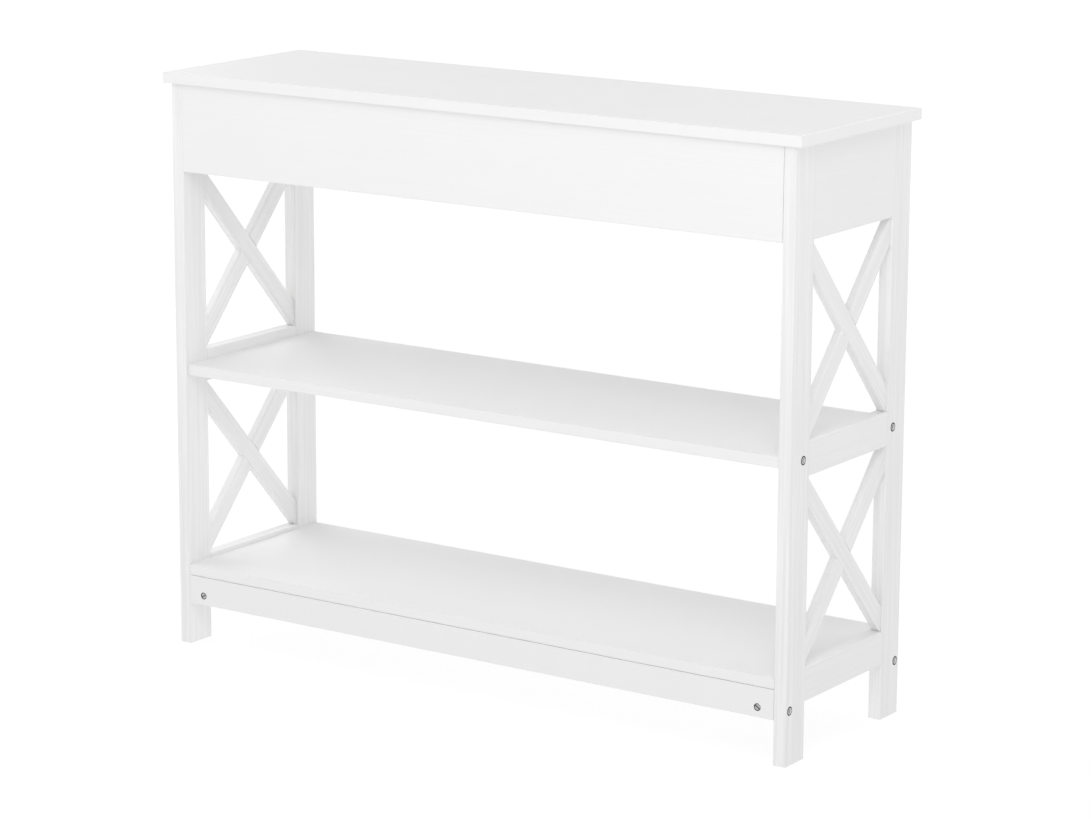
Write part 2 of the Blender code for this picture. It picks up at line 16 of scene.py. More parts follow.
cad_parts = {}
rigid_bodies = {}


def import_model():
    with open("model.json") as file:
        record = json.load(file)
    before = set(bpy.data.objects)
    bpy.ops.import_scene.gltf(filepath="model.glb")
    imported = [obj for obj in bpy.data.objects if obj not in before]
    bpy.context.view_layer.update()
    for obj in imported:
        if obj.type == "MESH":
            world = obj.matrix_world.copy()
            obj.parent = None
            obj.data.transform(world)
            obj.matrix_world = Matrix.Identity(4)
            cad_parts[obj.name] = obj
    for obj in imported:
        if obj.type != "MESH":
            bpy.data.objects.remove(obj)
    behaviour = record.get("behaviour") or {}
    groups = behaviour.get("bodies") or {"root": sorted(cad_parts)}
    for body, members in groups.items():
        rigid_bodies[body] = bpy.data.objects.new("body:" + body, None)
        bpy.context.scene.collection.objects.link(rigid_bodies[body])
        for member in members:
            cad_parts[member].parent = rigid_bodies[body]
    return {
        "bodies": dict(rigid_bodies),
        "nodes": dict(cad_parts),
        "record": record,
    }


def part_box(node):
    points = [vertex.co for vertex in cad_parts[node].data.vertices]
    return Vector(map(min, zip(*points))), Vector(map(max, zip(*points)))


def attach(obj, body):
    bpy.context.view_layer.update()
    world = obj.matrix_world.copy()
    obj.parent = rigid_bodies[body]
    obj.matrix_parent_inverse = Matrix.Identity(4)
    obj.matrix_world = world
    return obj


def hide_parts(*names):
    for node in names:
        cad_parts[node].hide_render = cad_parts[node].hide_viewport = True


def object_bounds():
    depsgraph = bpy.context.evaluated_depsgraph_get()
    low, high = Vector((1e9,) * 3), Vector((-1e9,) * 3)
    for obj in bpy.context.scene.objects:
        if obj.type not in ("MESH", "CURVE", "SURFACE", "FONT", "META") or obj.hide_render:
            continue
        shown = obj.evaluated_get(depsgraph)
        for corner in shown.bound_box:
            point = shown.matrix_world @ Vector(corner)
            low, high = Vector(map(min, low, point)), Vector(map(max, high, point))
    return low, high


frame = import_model()
cad_low, cad_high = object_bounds()
BODY = next(iter(frame["bodies"]))
MM = 0.001
ENDS = (("left", -1), ("right", 1))
SIDES = (("front", -1), ("rear", 1))

# ---------------------------------------------------------------------------------------------
# Camera, in metres and degrees: in front of the table's right half, looking left and down at it
# ---------------------------------------------------------------------------------------------
CAMERA_PLACE = (2.7067, -3.9388, 1.4483)
CAMERA_YAW = 34.240
CAMERA_PITCH = -12.708
CAMERA_ROLL = 0.269
CAMERA_LENS_MM = 121.15
SENSOR_MM = 36.0
SIGHT = 100.0                # metres


def make_camera():
    data = bpy.data.cameras.new("camera")
    data.lens = CAMERA_LENS_MM
    data.sensor_width = SENSOR_MM
    data.clip_end = SIGHT
    camera = bpy.data.objects.new("camera", data)
    yaw = Matrix.Rotation(math.radians(CAMERA_YAW), 4, "Z")
    pitch = Matrix.Rotation(math.radians(90 + CAMERA_PITCH), 4, "X")
    roll = Matrix.Rotation(math.radians(CAMERA_ROLL), 4, "Z")
    camera.matrix_world = Matrix.Translation(CAMERA_PLACE) @ yaw @ pitch @ roll
    bpy.context.scene.collection.objects.link(camera)
    bpy.context.scene.camera = camera


# ---------------------------------------------------------------------------------------------
# Shader nodes
# ---------------------------------------------------------------------------------------------
class Nodes:
    """A short way to write the node tree of a material or of the world."""

    def __init__(self, owner, shader="Principled BSDF"):
        owner.use_nodes = True
        self.owner = owner
        self.tree = owner.node_tree
        self.shader = self.tree.nodes[shader]

    def add(self, kind, settings=None, inputs=None):
        node = self.tree.nodes.new(kind)
        for key, value in (settings or {}).items():
            setattr(node, key, value)
        for key, value in (inputs or {}).items():
            self.feed(node.inputs[key], value)
        return node

    def feed(self, socket, value):
        """Link a socket into another, or set it to a plain value."""
        if isinstance(value, bpy.types.NodeSocket):
            self.tree.links.new(value, socket)
        else:
            socket.default_value = value

    def set(self, **values):
        """Feed the shader's sockets, named with underscores for spaces."""
        for name, value in values.items():
            self.feed(self.shader.inputs[name.replace("_", " ")], value)

    def attribute(self, name, output="Vector"):
        return self.add("ShaderNodeAttribute", {"attribute_name": name}).outputs[output]

    def maths(self, operation, *values, clamp=False):
        node = self.add("ShaderNodeMath", {"operation": operation, "use_clamp": clamp})
        for index, value in enumerate(values):
            self.feed(node.inputs[index], value)
        return node.outputs[0]

    def vector(self, operation, *values, output="Vector"):
        node = self.add("ShaderNodeVectorMath", {"operation": operation})
        for index, value in enumerate(values):
            self.feed(node.inputs[index], value)
        return node.outputs[output]

    def noise(self, place, scale, detail=2.0, roughness=0.5, stretch=(1, 1, 1)):
        """Noise from 0 to 1 whose features are 1/scale metres, stretched along the axes."""
        squeezed = self.vector("MULTIPLY", place, tuple(1 / s for s in stretch))
        node = self.add(
            "ShaderNodeTexNoise",
            {"noise_dimensions": "3D"},
            {"Vector": squeezed, "Scale": scale, "Detail": detail, "Roughness": roughness},
        )
        return node.outputs["Fac"]

    def spread(self, value, low_in, high_in, low_out, high_out, curve="LINEAR"):
        """Map a range to another, clamped at both ends."""
        node = self.add(
            "ShaderNodeMapRange",
            {"clamp": True, "interpolation_type": curve},
            {
                "Value": value,
                "From Min": low_in,
                "From Max": high_in,
                "To Min": low_out,
                "To Max": high_out,
            },
        )
        return node.outputs["Result"]

    def vary(self, noise, low, high, reach=0.2):
        """Map noise, which lies mostly within a reach of 0.5, to a range."""
        return self.spread(noise, 0.5 - reach, 0.5 + reach, low, high)

    def mix(self, share, first, second):
        node = self.add("ShaderNodeMix", {"data_type": "RGBA"})
        self.feed(node.inputs["Factor"], share)
        self.feed(node.inputs[6], first)     # its sockets for colours have no names of their own
        self.feed(node.inputs[7], second)
        return node.outputs[2]

    def combine(self, value):
        axes = {"X": value, "Y": value, "Z": value}
        return self.add("ShaderNodeCombineXYZ", inputs=axes).outputs[0]

    def split(self, vector):
        return self.add("ShaderNodeSeparateXYZ", inputs={"Vector": vector}).outputs

    def relief(self, *layers):
        """A bumped normal from (height, distance) layers, the deepest one first."""
        normal = None
        for height, distance in layers:
            node = self.add("ShaderNodeBump", inputs={"Height": height, "Distance": distance})
            if normal is not None:
                self.feed(node.inputs["Normal"], normal)
            normal = node.outputs["Normal"]
        return normal

    def place(self):
        """The pattern's place: the position in the piece, shifted by the piece's seed."""
        return self.vector("ADD", self.attribute(GRAIN), self.combine(self.attribute(SEED, "Fac")))

    def edge_distance(self):
        """The distance in metres from the piece's nearest edge: the middle one of the three
        distances from its faces, because the smallest is that of the face itself."""
        from_middle = self.vector("ABSOLUTE", self.attribute(GRAIN))
        inside = self.vector("SUBTRACT", self.attribute(HALF), from_middle)
        along, across, through = self.split(inside)
        low = self.maths("MINIMUM", along, across)
        high = self.maths("MAXIMUM", along, across)
        return self.maths("MAXIMUM", low, self.maths("MINIMUM", high, through))

    def axis_distance(self):
        """The distance in metres from the X axis of a turned piece."""
        flat = self.vector("MULTIPLY", self.attribute(GRAIN), (0, 1, 1))
        return self.vector("LENGTH", flat, output="Value")


def new_material(name):
    return Nodes(bpy.data.materials.new(name))


# ---------------------------------------------------------------------------------------------
# Floor and light
# ---------------------------------------------------------------------------------------------
FLOOR_RADIUS = 60.0
FLOOR_SIDES = 96
FLOOR_ALBEDO = 0.15
FLOOR_GLOW = 0.86            # the floor is a lit white panel, so that no shadow on it is deep
FAR_FLOOR_GLOW = 0.97        # where the soft boxes no longer reach
GLOW_RISES_FROM = 1.2
GLOW_RISES_TO = 5.0
ZENITH_LIGHT = 0.34
HORIZON_LIGHT = 0.68         # added to the zenith's light, and fading upwards
HORIZON_FADING = 2.0
LIGHT_REACH = 2.6            # distance of each soft box from the table's middle
LIGHT_SIZE = 1.4
WHITE = (1, 1, 1, 1)
# name: (azimuth from the front towards the right, elevation, power in watts)
SOFT_BOXES = {
    "front_right": (35, 40, 15.0),
    "high_right": (70, 68, 8.5),
    "rear": (168, 32, 17.0),
    "front_left": (-65, 40, 11.5),
    "rear_left": (-110, 25, 14.5),
}


def make_floor():
    bm = bmesh.new()
    bmesh.ops.create_circle(bm, cap_ends=True, segments=FLOOR_SIDES, radius=FLOOR_RADIUS)
    mesh = mesh_of(bm, "floor")
    floor = bpy.data.objects.new("floor", mesh)
    bpy.context.scene.collection.objects.link(floor)
    n = new_material("white_floor")
    place = n.add("ShaderNodeTexCoord").outputs["Object"]
    distance = n.vector("LENGTH", place, output="Value")
    rise = (GLOW_RISES_FROM, GLOW_RISES_TO, FLOOR_GLOW, FAR_FLOOR_GLOW)
    glow = n.spread(distance, *rise, curve="SMOOTHSTEP")
    n.set(
        Base_Color=grey(FLOOR_ALBEDO),
        Emission_Color=WHITE,
        Emission_Strength=glow,
        Roughness=0.9,
        Specular_IOR_Level=0.1,
    )
    mesh.materials.append(n.owner)


def make_world():
    """A pale surround, brightest at the horizon."""
    n = Nodes(bpy.data.worlds.new("studio"), "Background")
    direction = n.add("ShaderNodeTexCoord").outputs["Generated"]
    below_zenith = n.maths("SUBTRACT", 1.0, n.split(direction)["Z"], clamp=True)
    horizon = n.maths("POWER", below_zenith, HORIZON_FADING)
    n.set(Color=WHITE, Strength=n.maths("MULTIPLY_ADD", horizon, HORIZON_LIGHT, ZENITH_LIGHT))
    bpy.context.scene.world = n.owner


def make_soft_boxes():
    aim = (cad_low + cad_high) / 2
    for name, (azimuth, elevation, power) in SOFT_BOXES.items():
        data = bpy.data.lights.new(f"{name}_soft_box", "AREA")
        data.shape = "SQUARE"
        data.size = LIGHT_SIZE
        data.energy = power
        lamp = bpy.data.objects.new(f"{name}_soft_box", data)
        turn = math.radians(azimuth)
        lift = math.radians(elevation)
        level = math.cos(lift)
        back = Vector((math.sin(turn) * level, -math.cos(turn) * level, math.sin(lift)))
        lamp.location = aim + back * LIGHT_REACH
        lamp.rotation_euler = back.to_track_quat("Z", "Y").to_euler()
        lamp.visible_camera = False
        bpy.context.scene.collection.objects.link(lamp)


# ---------------------------------------------------------------------------------------------
# Finishes
# ---------------------------------------------------------------------------------------------
# Every piece carries its own place for its pattern: GRAIN is the position in the piece, in metres,
# as (along, across, through); HALF is half the piece's size the same way; SEED shifts the pattern.
GRAIN = "grain_place"
HALF = "half_size"
SEED = "pattern_seed"
STREAK = "grain_strength"    # how strongly the wood's grain comes through the paint
IN_HOLE = "in_hole"          # 1 on the walls of a drilled hole, where there is no paint or film; there the colour is darkened as painted shade
PAINT_TONE = 0.862
BOARD_TONE = 0.866
PAINT_IOR = 1.48
FILM_IOR = 1.50
WORN_EDGE = 1.5 * MM         # how far from an edge the paint is rubbed
FILM_EDGE = 1.4 * MM
GLUE_LINE = 1.5 * MM         # how far the edge band's glue line is from the edge
# painted shade on fasteners: its share round the rim and in the recess, the depth where it ends, and
# the radii between which it changes
RIM_PAINTED_SHADE = 0.97
RECESS_PAINTED_SHADE = 0.75
HEAD_DEPTH = 2.5 * MM        # below it a fastener gets no painted shade
RECESS_RADIUS = 2.6 * MM
RIM_RADIUS = 3.6 * MM
TURNING_PITCH = 0.22 * MM
# bare wood and chips inside the holes: their own colour, made darker than the real core as painted
# shade of the holes
BARE_WOOD_AND_HOLE_SHADE = ((0.10, 0.075, 0.05, 1), (0.18, 0.135, 0.095, 1))
BARE_CHIPS_AND_HOLE_SHADE = ((0.08, 0.06, 0.04, 1), (0.18, 0.135, 0.09, 1))
PLATING = ((0.51, 0.515, 0.525, 1), (0.66, 0.66, 0.66, 1))
CASTING = ((0.44, 0.44, 0.45, 1), (0.56, 0.56, 0.56, 1))
CAST_HOLLOW = (0.28, 0.28, 0.29, 1)
BEECH = ((0.50, 0.33, 0.19, 1), (0.68, 0.50, 0.33, 1))
BEECH_FLECK = (0.34, 0.20, 0.11, 1)
# the dark colours of the painted shade round the rims and in the recesses of plated and cast
# fasteners
PLATING_PAINTED_SHADE = (0.085, 0.085, 0.09, 1)
CASTING_PAINTED_SHADE = (0.09, 0.09, 0.09, 1)


def grey(value, warmth=0.0):
    """A near-neutral colour. Warmth above 0 takes a little blue away."""
    return (value, value * (1 - 0.3 * warmth), value * (1 - warmth), 1.0)


def wood_under_paint(n, place):
    """The long straight grain of a planed stick: its fine pores, and its broader rings."""
    bend = n.noise(place, 9.0, detail=2.0, stretch=(3, 1, 1))
    bent = n.vector("ADD", place, n.vector("MULTIPLY", n.combine(bend), (0, 6 * MM, 6 * MM)))
    pores = n.noise(bent, 760.0, detail=2.0, roughness=0.6, stretch=(90, 1, 1))
    rings = n.noise(bent, 260.0, detail=2.0, roughness=0.5, stretch=(60, 1, 1))
    return pores, rings


def white_paint():
    """Sprayed satin paint on the wooden frame: the wood's grain telegraphs through the film, which
    has orange peel, is thinner and shinier on the eased edges, and shows a little handling dirt.
    Inside the drilled holes the wood is bare, its colour darkened as painted shade of the hole."""
    n = new_material("white_paint")
    place = n.place()
    pores, rings = wood_under_paint(n, place)
    clouds = n.noise(place, 14.0, detail=3.0)
    peel = n.noise(place, 760.0, detail=1.0)
    dust = n.noise(place, 2600.0, detail=1.0)
    edge = n.spread(n.edge_distance(), 0.0, WORN_EDGE, 1.0, 0.0)
    handled = n.spread(n.noise(place, 90.0, detail=4.0), 0.42, 0.66, 0.0, 1.0)
    rub = n.maths("MULTIPLY", edge, handled)
    strength = n.attribute(STREAK, "Fac")
    streaks = n.maths("SUBTRACT", n.vary(rings, 0.0, 1.0, reach=0.12), 0.5)
    streaks = n.maths("ADD", n.maths("MULTIPLY", streaks, strength), 0.5)
    tone = n.mix(streaks, grey(PAINT_TONE - 0.042), grey(PAINT_TONE + 0.034))
    open_pores = n.maths("MULTIPLY", n.spread(pores, 0.30, 0.45, 0.5, 0.0), strength)
    tone = n.mix(open_pores, tone, grey(PAINT_TONE - 0.08, 0.005))
    tone = n.mix(n.spread(clouds, 0.35, 0.7, 0.0, 0.5), tone, grey(PAINT_TONE - 0.018, 0.004))
    tone = n.mix(n.maths("MULTIPLY", rub, 0.35), tone, grey(PAINT_TONE - 0.07, 0.03))
    # painted shade: the bare wood is darker than the real wood, for the shade inside the hole
    bare = n.mix(n.vary(rings, 0.0, 1.0), *BARE_WOOD_AND_HOLE_SHADE)
    in_hole = n.attribute(IN_HOLE, "Fac")
    rough = n.maths("ADD", n.vary(clouds, 0.36, 0.46), n.vary(rings, -0.03, 0.03))
    rough = n.maths("SUBTRACT", rough, n.maths("MULTIPLY", rub, 0.12))
    n.set(
        Base_Color=n.mix(in_hole, tone, bare),
        Roughness=n.maths("MAXIMUM", rough, n.maths("MULTIPLY", in_hole, 0.9)),
        IOR=PAINT_IOR,
        Normal=n.relief(
            (n.maths("MULTIPLY", rings, strength), 0.07 * MM),
            (n.maths("MULTIPLY", pores, strength), 0.04 * MM),
            (peel, 0.025 * MM),
            (dust, 0.006 * MM),
        ),
    )
    return n.owner


def white_laminate():
    """Satin melamine film on particle board: a fine pearl emboss, a hint of print grain along the
    board, the glue line of the edge band close to the edges, and bare chips inside the drilled holes,
    their colour darkened as painted shade of the holes."""
    n = new_material("white_laminate")
    place = n.place()
    grain = n.noise(place, 340.0, detail=4.0, roughness=0.6, stretch=(60, 1, 1))
    clouds = n.noise(place, 7.0, detail=2.0)
    beads = {"Vector": place, "Scale": 1500.0, "Smoothness": 0.6}
    pearl = n.add("ShaderNodeTexVoronoi", {"feature": "SMOOTH_F1"}, beads).outputs["Distance"]
    handling = n.noise(place, 22.0, detail=5.0, roughness=0.6)
    distance = n.edge_distance()
    edge = n.spread(distance, 0.0, FILM_EDGE, 1.0, 0.0)
    from_glue = n.maths("ABSOLUTE", n.maths("SUBTRACT", distance, GLUE_LINE))
    glue = n.spread(from_glue, 0.02 * MM, 0.09 * MM, 1.0, 0.0)
    print_grain = n.vary(grain, 0.0, 1.0, reach=0.18)
    tone = n.mix(print_grain, grey(BOARD_TONE - 0.010), grey(BOARD_TONE + 0.008))
    tone = n.mix(n.spread(clouds, 0.35, 0.7, 0.0, 0.5), tone, grey(BOARD_TONE - 0.012, 0.003))
    tone = n.mix(n.maths("MULTIPLY", glue, 0.22), tone, grey(0.62, 0.02))
    tone = n.mix(n.maths("MULTIPLY", edge, 0.12), tone, grey(BOARD_TONE - 0.04, 0.01))
    flakes = {"Vector": place, "Scale": 700.0}
    chips = n.add("ShaderNodeTexVoronoi", inputs=flakes).outputs["Color"]
    chip = n.add("ShaderNodeSeparateColor", inputs={"Color": chips}).outputs["Red"]
    # painted shade: the bare chips are darker than the real core, for the shade inside the hole
    bare = n.mix(chip, *BARE_CHIPS_AND_HOLE_SHADE)
    in_hole = n.attribute(IN_HOLE, "Fac")
    rough = n.maths("ADD", n.vary(clouds, 0.34, 0.40), n.spread(handling, 0.5, 0.75, 0.0, 0.07))
    rough = n.maths("SUBTRACT", rough, n.maths("MULTIPLY", edge, 0.06))
    n.set(
        Base_Color=n.mix(in_hole, tone, bare),
        Roughness=n.maths("MAXIMUM", rough, n.maths("MULTIPLY", in_hole, 0.95)),
        IOR=FILM_IOR,
        Normal=n.relief(
            (pearl, 0.016 * MM),
            (grain, 0.014 * MM),
            (n.maths("MULTIPLY", glue, -1.0), 0.03 * MM),
            (n.maths("MULTIPLY", chip, in_hole), 0.25 * MM),
        ),
    )
    return n.owner


def painted_shade(n, low, high):
    """Painted shade on a fastener: 0 at its face, where X is 0. Down round its rim it rises to 1,
    and in its recess to a part of that. It is 0 again beyond the fastener's head."""
    # painted shade: it darkens the rim and the drive recess, standing in for the shade in the gap
    # round the head and in the recess
    depth = n.maths("MULTIPLY", n.split(n.attribute(GRAIN))["X"], -1.0)
    on_head = n.spread(depth, HEAD_DEPTH, HEAD_DEPTH + 0.7 * MM, 1.0, 0.0)
    rim = n.spread(n.axis_distance(), RECESS_RADIUS, RIM_RADIUS, RECESS_PAINTED_SHADE, RIM_PAINTED_SHADE)
    shade_by_depth = n.maths("MULTIPLY", n.spread(depth, low, high, 0.0, 1.0), on_head)
    return n.maths("MULTIPLY", shade_by_depth, rim)


def zinc_plating():
    """Bright zinc on steel: turned rings under the plating, mottled passivation, and painted shade, a
    dull dark colour, in the socket and round the rim."""
    n = new_material("zinc_plated_steel")
    place = n.place()
    marks = n.maths("SINE", n.maths("MULTIPLY", n.axis_distance(), 2 * math.pi / TURNING_PITCH))
    mottle = n.noise(place, 900.0, detail=4.0, roughness=0.6)
    grit = n.noise(place, 6000.0, detail=2.0)
    # painted shade: a dark colour round the rim and in the socket, where the gap and the recess lie
    # in shade
    dark = painted_shade(n, 0.03 * MM, 0.35 * MM)
    tone = n.mix(n.vary(mottle, 0.0, 1.0, reach=0.15), *PLATING)
    rough = n.maths("ADD", n.vary(mottle, 0.26, 0.42), n.vary(grit, -0.04, 0.04))
    n.set(
        Base_Color=n.mix(dark, tone, PLATING_PAINTED_SHADE),
        Metallic=1.0,
        Roughness=n.maths("ADD", rough, n.maths("MULTIPLY", dark, 0.25)),
        Normal=n.relief((marks, 0.004 * MM), (grit, 0.006 * MM)),
    )
    return n.owner


def cast_zinc():
    """Die-cast zinc, tumbled: a pebbled skin with darker hollows, and painted shade in its slots."""
    n = new_material("cast_zinc")
    place = n.place()
    pebbles = n.noise(place, 1700.0, detail=3.0, roughness=0.55)
    mottle = n.noise(place, 420.0, detail=3.0)
    # painted shade: a dark colour in the slots and round the rim, where they lie in shade
    dark = painted_shade(n, 0.05 * MM, 0.40 * MM)
    tone = n.mix(n.vary(mottle, 0.0, 1.0, reach=0.15), *CASTING)
    tone = n.mix(n.spread(pebbles, 0.28, 0.45, 0.5, 0.0), tone, CAST_HOLLOW)
    n.set(
        Base_Color=n.mix(dark, tone, CASTING_PAINTED_SHADE),
        Metallic=1.0,
        Roughness=n.vary(pebbles, 0.50, 0.36),
        Normal=n.relief((pebbles, 0.020 * MM)),
    )
    return n.owner


def beech_wood():
    """Raw beech: straight grain with the short dark flecks of its rays."""
    n = new_material("beech_wood")
    place = n.place()
    rings = n.noise(place, 900.0, detail=3.0, roughness=0.55, stretch=(30, 1, 1))
    flecks = n.noise(place, 2600.0, detail=1.0, stretch=(7, 1, 1))
    tone = n.mix(n.vary(rings, 0.0, 1.0), *BEECH)
    tone = n.mix(n.spread(flecks, 0.60, 0.70, 0.0, 0.6), tone, BEECH_FLECK)
    n.set(Base_Color=tone, Roughness=n.vary(rings, 0.62, 0.78), Normal=n.relief((rings, 0.03 * MM)))
    return n.owner


FINISHES = {
    "white_board": white_laminate(),
    "white_frame": white_paint(),
    "zinc_plated_steel": zinc_plating(),
    "zinc_alloy": cast_zinc(),
    "beech": beech_wood(),
}
SLOT_OF = {part["node"]: part["material_slot"] for part in frame["record"]["subparts"]}

# ---------------------------------------------------------------------------------------------
# Mesh helpers
# ---------------------------------------------------------------------------------------------
QUARTERS = ((1, 1), (-1, 1), (-1, -1), (1, -1))      # the signs of a section's four corners
ARC_SEGMENTS = 5
END_SEGMENTS = 3
ROUND = 48
SHARP_ANGLE = math.radians(35)
GOLDEN = 0.618034            # steps of it, less whole turns, spread evenly and never repeat
SEED_SPAN = 10
THREAD_STEPS = 6             # profile points for each turn of a thread
ALMOST = 0.98                # an end's easing may not quite reach the radius of the long edges
GRAIN_SHOWS = {"_leg": 0.9, "_brace_": 0.8, "_rail": 0.35, "_end_panel": 0.2}
piece_numbers = itertools.count()


def mesh_of(bm, name):
    mesh = bpy.data.meshes.new(name)
    bm.to_mesh(mesh)
    bm.free()
    return mesh


def join_rings(bm, rings):
    """Bridge rings of equally many vertices, each to the next."""
    for first, second in zip(rings, rings[1:]):
        for step, (start, end) in enumerate(zip(first, second)):
            following = (step + 1) % len(first)
            bm.faces.new((start, first[following], second[following], end))


def rounded_bar(name, size, radii, end_radius):
    """A bar round the origin, its length along X, its four long edges eased to the radii given for
    the corners (Y+ Z+), (Y- Z+), (Y- Z-) and (Y+ Z-), and its ends eased to another."""
    half = Vector(size) / 2
    rings = []
    for end in (-1, 1):
        order = range(END_SEGMENTS + 1) if end < 0 else reversed(range(END_SEGMENTS + 1))
        for step in order:
            turn = math.pi / 2 * step / END_SEGMENTS
            inset = end_radius * (1 - math.sin(turn))
            x = end * (half.x - end_radius * (1 - math.cos(turn)))
            ring = []
            for (side_y, side_z), radius in zip(QUARTERS, radii):
                start = math.atan2(side_z, side_y) - math.pi / 4
                for part in range(ARC_SEGMENTS + 1):
                    angle = start + math.pi / 2 * part / ARC_SEGMENTS
                    y = side_y * (half.y - radius) + (radius - inset) * math.cos(angle)
                    z = side_z * (half.z - radius) + (radius - inset) * math.sin(angle)
                    ring.append((x, y, z))
            rings.append(ring)
    bm = bmesh.new()
    made = [[bm.verts.new(point) for point in ring] for ring in rings]
    join_rings(bm, made)
    bm.faces.new(made[0])
    bm.faces.new(made[-1])
    bmesh.ops.recalc_face_normals(bm, faces=bm.faces)
    return mesh_of(bm, name)


def rounded_block(name, size, radius):
    """A bar with the same easing on all of its edges."""
    return rounded_bar(name, size, (radius,) * 4, radius * ALMOST)


def lathe(name, profile, segments=ROUND, thread=None):
    """Turn (radius, x) points, from one end to the other, about the X axis into a closed solid.

    Thread, if given, is (start, end, depth, pitch): between those two places the radius follows a
    helical groove.
    """
    bm = bmesh.new()
    rings = []
    for radius, x in profile:
        if radius == 0:
            rings.append([bm.verts.new((x, 0, 0))])
            continue
        ring = []
        for step in range(segments):
            share = step / segments
            cut = thread_cut(x, share, *thread) if thread else 0.0
            angle = 2 * math.pi * share
            y = (radius - cut) * math.cos(angle)
            z = (radius - cut) * math.sin(angle)
            ring.append(bm.verts.new((x, y, z)))
        rings.append(ring)
    for first, second in zip(rings, rings[1:]):
        for step in range(segments):
            following = (step + 1) % segments
            face = [first[step % len(first)], first[following % len(first)]]
            face += [second[following % len(second)], second[step % len(second)]]
            bm.faces.new(list(dict.fromkeys(face)))
    bmesh.ops.recalc_face_normals(bm, faces=bm.faces)
    return mesh_of(bm, name)


def thread_cut(x, share, start, end, depth, pitch):
    """How deep a helical V groove is at a place along the shank and round it."""
    if not start <= x <= end:
        return 0.0
    fade = min(1.0, (x - start) / pitch, (end - x) / pitch)
    wave = (x / pitch + share) % 1.0
    return depth * fade * (1 - abs(2 * wave - 1))


def threaded_stretch(radius, start, end, pitch):
    """Profile points close enough together to carry a thread between two places."""
    steps = round(abs(end - start) / pitch * THREAD_STEPS)
    return [(radius, start + (end - start) * step / steps) for step in range(steps + 1)]


def prism(name, sides, across_flats, start, end, point=0.0):
    """A prism along X for cutting a drive socket, with a point of the given depth on its end."""
    radius = across_flats / 2 / math.cos(math.pi / sides)
    profile = [(0, start), (radius, start), (radius, end), (0, end + point)]
    return lathe(name, profile, segments=sides)


def hole_cutter(steps, easing):
    """A cutter for a stepped hole that starts at the origin and goes along +X, with an eased mouth.
    Each step is (diameter, depth), the widest first."""
    clear = 2 * MM
    first = steps[0][0] / 2
    profile = [(0, -clear), (first + easing + clear, -clear), (first, easing)]
    for (diameter, depth), following in zip(steps, [*steps[1:], (0, 0)]):
        profile += [(diameter / 2, depth), (following[0] / 2, depth)]
    return lathe("hole", profile)


def carve(mesh, cutters, operation="DIFFERENCE"):
    """The mesh with each (cutter mesh, matrix) cut out of it."""
    obj = bpy.data.objects.new("carved", mesh)
    bpy.context.scene.collection.objects.link(obj)
    tools = []
    for cutter, matrix in cutters:
        tool = bpy.data.objects.new("cutter", cutter)
        tool.matrix_world = matrix
        bpy.context.scene.collection.objects.link(tool)
        modifier = obj.modifiers.new("cut", "BOOLEAN")
        modifier.operation = operation
        modifier.solver = "EXACT"
        modifier.object = tool
        tools.append(tool)
    bpy.context.view_layer.update()
    graph = bpy.context.evaluated_depsgraph_get()
    result = bpy.data.meshes.new_from_object(obj.evaluated_get(graph))
    for thing in [obj, *tools]:
        bpy.data.objects.remove(thing, do_unlink=True)
    return result


def turn_x_to(direction):
    """The rotation that turns +X to the given direction."""
    return Vector(direction).to_track_quat("X", "Z").to_matrix().to_4x4()


def turn_columns(first, second):
    """The rotation that turns +X to the first direction and +Y to the second."""
    x_axis = Vector(first)
    y_axis = Vector(second)
    return Matrix((x_axis, y_axis, x_axis.cross(y_axis))).transposed().to_4x4()


def mark_holes(mesh, half):
    """Mark the faces that lie deeper inside a board than its eased edges go."""
    marks = mesh.attributes.new(IN_HOLE, "FLOAT", "FACE")
    for polygon, mark in zip(mesh.polygons, marks.data):
        depth = min(h - abs(c) for h, c in zip(half, polygon.center))
        mark.value = 1.0 if depth > DEEPEST_EASING else 0.0


def store(mesh, name, kind, values):
    """Write one attribute of the mesh's vertices. It is filled at once, because a later attribute
    would move it."""
    field = "vector" if kind == "FLOAT_VECTOR" else "value"
    mesh.attributes.new(name, kind, "POINT").data.foreach_set(field, values)


def finish_piece(node, mesh, matrix, suffix, half=None):
    """Put a piece in the frame: write its pattern's place, turn it into position, and let it ride
    in the stead of its CAD node. Half is half the size of a board or bar, whose edges show."""
    seed = (next(piece_numbers) * GOLDEN) % 1.0 * SEED_SPAN
    strength = next((value for kind, value in GRAIN_SHOWS.items() if kind in node), 0.0)
    count = len(mesh.vertices)
    if suffix == "board":
        mark_holes(mesh, half)
    store(mesh, GRAIN, "FLOAT_VECTOR", [c for vertex in mesh.vertices for c in vertex.co])
    if half is not None:
        store(mesh, HALF, "FLOAT_VECTOR", list(half) * count)
    store(mesh, SEED, "FLOAT", [seed] * count)
    store(mesh, STREAK, "FLOAT", [strength] * count)
    mesh.transform(matrix)
    if matrix.determinant() < 0:
        mesh.flip_normals()
    mesh.shade_smooth()
    mesh.set_sharp_from_angle(angle=SHARP_ANGLE)
    slot = SLOT_OF[node]
    mesh.materials.clear()
    mesh.materials.append(FINISHES[slot])
    piece = bpy.data.objects.new(f"{node}_{suffix}", mesh)
    bpy.context.scene.collection.objects.link(piece)
    even = piece.modifiers.new("even_faces", "WEIGHTED_NORMAL")
    even.keep_sharp = True
    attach(piece, BODY)
    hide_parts(node)


